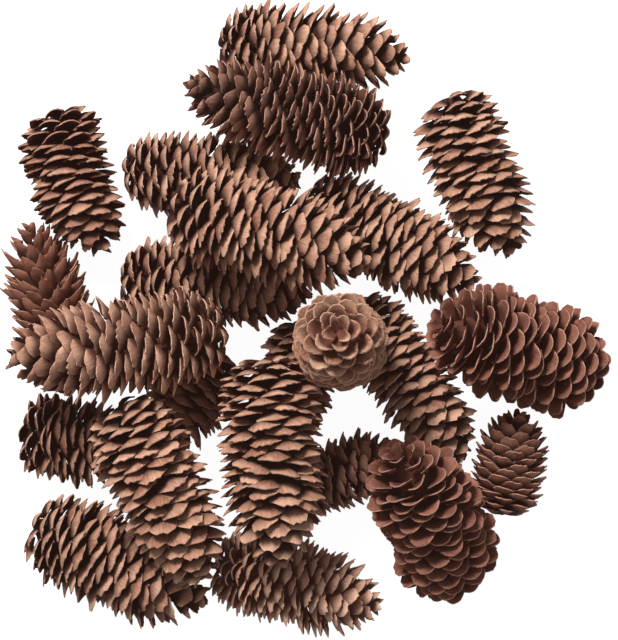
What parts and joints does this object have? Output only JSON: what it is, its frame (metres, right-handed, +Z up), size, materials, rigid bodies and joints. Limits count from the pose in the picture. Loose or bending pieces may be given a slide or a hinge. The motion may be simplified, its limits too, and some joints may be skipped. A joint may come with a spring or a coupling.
{
  "type": "heap of spruce cones",
  "caption": "Loose heap of dry opened spruce cones, with woody overlapping scales, lying across one another, some leaning and one standing on end; rests on a flat surface.",
  "frame": {"origin": "on the table, under the middle of the heap's bounding box", "axes": "+Z up from the table, +Y towards the back of the heap, +X to the right as seen from the front"},
  "size_m": [0.3015, 0.3168, 0.114],
  "materials": {
    "tan_scales": "matte",
    "brown_scales": "matte",
    "red_brown_scales": "matte",
    "grey_brown_scales": "matte"
  },
  "bodies": {
    "root": {"back_cone": "tan_scales", "far_left_cone": "brown_scales", "left_cone": "red_brown_scales", "back_left_cone": "tan_scales", "middle_left_cone": "tan_scales", "middle_right_cone": "tan_scales", "back_right_cone": "tan_scales", "centre_right_cone": "tan_scales", "small_right_cone": "red_brown_scales", "front_left_cone": "brown_scales", "front_corner_cone": "tan_scales", "front_cone": "grey_brown_scales", "under_left_cone": "brown_scales", "under_right_cone": "brown_scales", "under_centre_cone": "brown_scales", "top_back_cone": "grey_brown_scales", "top_left_cone": "grey_brown_scales", "top_middle_cone": "tan_scales", "top_front_cone": "tan_scales", "top_front_left_cone": "tan_scales", "leaning_right_cone": "red_brown_scales", "leaning_front_cone": "red_brown_scales", "upright_cone": "red_brown_scales"}
  },
  "joints": []
}
